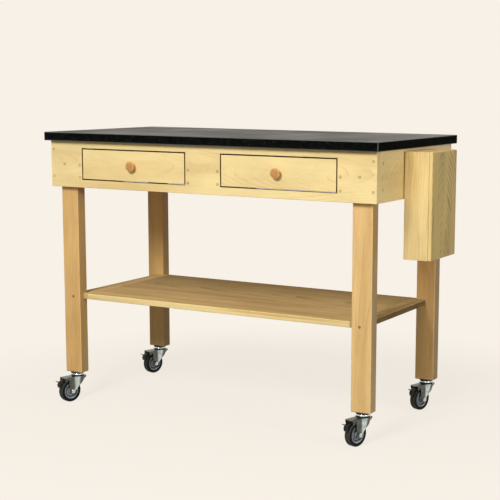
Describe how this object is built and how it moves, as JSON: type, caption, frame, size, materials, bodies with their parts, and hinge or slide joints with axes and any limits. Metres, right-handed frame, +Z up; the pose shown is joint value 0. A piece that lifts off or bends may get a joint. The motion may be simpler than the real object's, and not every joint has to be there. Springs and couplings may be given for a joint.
{
  "type": "kitchen prep table",
  "caption": "Wooden kitchen prep table with a dark stone top, inset drawers with turned knobs, a low shelf, a hanging knife block and braked swivel casters.",
  "frame": {"origin": "on the floor, below the middle of the whole table's box", "axes": "+X along the table towards the knife block, -Y towards the drawer fronts, +Z up"},
  "size_m": [1.301, 0.6308, 0.914],
  "materials": {
    "stone": "honed black stone with eased polished edges",
    "apron_wood": "pale birch, satin clear finish",
    "drawer_front_wood": "pale birch, satin clear finish",
    "leg_wood": "golden birch, satin clear finish",
    "shelf_wood": "golden birch panel, satin clear finish",
    "shelf_end_wood": "golden birch end board, satin clear finish",
    "drawer_box_wood": "sanded birch",
    "guide_wood": "waxed hard maple strips",
    "knob_wood": "turned maple, oiled",
    "plug_wood": "end-grain plugs, sanded flush",
    "block_wood": "laminated birch, satin clear finish",
    "block_face_wood": "birch face board, satin clear finish",
    "rail_aluminium": "mill finish",
    "screw_steel": "zinc plated",
    "stem_chrome": "bright race under a black collar",
    "fork_zinc": "bright zinc plated pressed steel",
    "axle_steel": "bright zinc plated bolt and nut",
    "hub_plastic": "grey moulded plastic",
    "tyre_rubber": "dark grey rubber",
    "brake_plastic": "black moulded pedal"
  },
  "bodies": {
    "table": {"stone_top": "stone", "front_apron": "apron_wood", "back_apron": "apron_wood", "left_apron": "apron_wood", "right_apron": "apron_wood", "shelf_panel": "shelf_wood", "shelf_end_boards": "shelf_end_wood", "drawer_guides": "guide_wood", "wood_screws": "screw_steel", "screw_plugs": "plug_wood", "apron_hanging_rail": "rail_aluminium", "left_drawer_case_left": "guide_wood", "left_drawer_case_right": "guide_wood", "right_drawer_case_left": "guide_wood", "right_drawer_case_right": "guide_wood", "front_left_leg": "leg_wood", "front_left_caster_stem": "stem_chrome", "front_right_leg": "leg_wood", "front_right_caster_stem": "stem_chrome", "back_left_leg": "leg_wood", "back_left_caster_stem": "stem_chrome", "back_right_leg": "leg_wood", "back_right_caster_stem": "stem_chrome"},
    "knife_block": {"block_back_board": "block_wood", "block_core_boards": "block_wood", "block_slot_strips": "block_wood", "block_face_board": "block_face_wood", "block_hanging_rail": "rail_aluminium"},
    "left_drawer": {"left_drawer_front": "drawer_front_wood", "left_drawer_left_side": "drawer_box_wood", "left_drawer_right_side": "drawer_box_wood", "left_drawer_back": "drawer_box_wood", "left_drawer_bottom": "drawer_box_wood", "left_drawer_knob": "knob_wood"},
    "right_drawer": {"right_drawer_front": "drawer_front_wood", "right_drawer_left_side": "drawer_box_wood", "right_drawer_right_side": "drawer_box_wood", "right_drawer_back": "drawer_box_wood", "right_drawer_bottom": "drawer_box_wood", "right_drawer_knob": "knob_wood"},
    "front_left_fork": {"front_left_caster_fork": "fork_zinc", "front_left_caster_axle": "axle_steel"},
    "front_left_wheel": {"front_left_caster_hub": "hub_plastic", "front_left_caster_tyre": "tyre_rubber"},
    "front_left_pedal": {"front_left_caster_brake": "brake_plastic"},
    "front_right_fork": {"front_right_caster_fork": "fork_zinc", "front_right_caster_axle": "axle_steel"},
    "front_right_wheel": {"front_right_caster_hub": "hub_plastic", "front_right_caster_tyre": "tyre_rubber"},
    "front_right_pedal": {"front_right_caster_brake": "brake_plastic"},
    "back_left_fork": {"back_left_caster_fork": "fork_zinc", "back_left_caster_axle": "axle_steel"},
    "back_left_wheel": {"back_left_caster_hub": "hub_plastic", "back_left_caster_tyre": "tyre_rubber"},
    "back_left_pedal": {"back_left_caster_brake": "brake_plastic"},
    "back_right_fork": {"back_right_caster_fork": "fork_zinc", "back_right_caster_axle": "axle_steel"},
    "back_right_wheel": {"back_right_caster_hub": "hub_plastic", "back_right_caster_tyre": "tyre_rubber"},
    "back_right_pedal": {"back_right_caster_brake": "brake_plastic"}
  },
  "joints": [
    {"name": "left_drawer_slide", "type": "slide", "parent": "table", "child": "left_drawer", "axis": [0, -1, 0], "range_m": [0, 0.34]},
    {"name": "right_drawer_slide", "type": "slide", "parent": "table", "child": "right_drawer", "axis": [0, -1, 0], "range_m": [0, 0.34]},
    {"name": "knife_block_lift", "type": "slide", "parent": "table", "child": "knife_block", "axis": [0, 0, 1], "range_m": [0, 0.0075]},
    {"name": "front_left_caster_swivel", "type": "hinge", "parent": "table", "child": "front_left_fork", "pos_m": [-0.5835, -0.2323, 0.085], "axis": [0, 0, 1], "continuous": true},
    {"name": "front_left_wheel_spin", "type": "hinge", "parent": "front_left_fork", "child": "front_left_wheel", "pos_m": [-0.59315, -0.26386, 0.0375], "axis": [0.9563, -0.2924, 0], "continuous": true},
    {"name": "front_left_brake_press", "type": "hinge", "parent": "front_left_fork", "child": "front_left_pedal", "pos_m": [-0.59958, -0.2849, 0.0775], "axis": [0.9563, -0.2924, 0], "range_deg": [0, 10]},
    {"name": "front_right_caster_swivel", "type": "hinge", "parent": "table", "child": "front_right_fork", "pos_m": [0.5015, -0.2323, 0.085], "axis": [0, 0, 1], "continuous": true},
    {"name": "front_right_wheel_spin", "type": "hinge", "parent": "front_right_fork", "child": "front_right_wheel", "pos_m": [0.49185, -0.26386, 0.0375], "axis": [0.9563, -0.2924, 0], "continuous": true},
    {"name": "front_right_brake_press", "type": "hinge", "parent": "front_right_fork", "child": "front_right_pedal", "pos_m": [0.48542, -0.2849, 0.0775], "axis": [0.9563, -0.2924, 0], "range_deg": [0, 10]},
    {"name": "back_left_caster_swivel", "type": "hinge", "parent": "table", "child": "back_left_fork", "pos_m": [-0.5835, 0.2532, 0.085], "axis": [0, 0, 1], "continuous": true},
    {"name": "back_left_wheel_spin", "type": "hinge", "parent": "back_left_fork", "child": "back_left_wheel", "pos_m": [-0.59315, 0.22164, 0.0375], "axis": [0.9563, -0.2924, 0], "continuous": true},
    {"name": "back_left_brake_press", "type": "hinge", "parent": "back_left_fork", "child": "back_left_pedal", "pos_m": [-0.59958, 0.2006, 0.0775], "axis": [0.9563, -0.2924, 0], "range_deg": [0, 10]},
    {"name": "back_right_caster_swivel", "type": "hinge", "parent": "table", "child": "back_right_fork", "pos_m": [0.5015, 0.2532, 0.085], "axis": [0, 0, 1], "continuous": true},
    {"name": "back_right_wheel_spin", "type": "hinge", "parent": "back_right_fork", "child": "back_right_wheel", "pos_m": [0.49185, 0.22164, 0.0375], "axis": [0.9563, -0.2924, 0], "continuous": true},
    {"name": "back_right_brake_press", "type": "hinge", "parent": "back_right_fork", "child": "back_right_pedal", "pos_m": [0.48542, 0.2006, 0.0775], "axis": [0.9563, -0.2924, 0], "range_deg": [0, 10]}
  ]
}
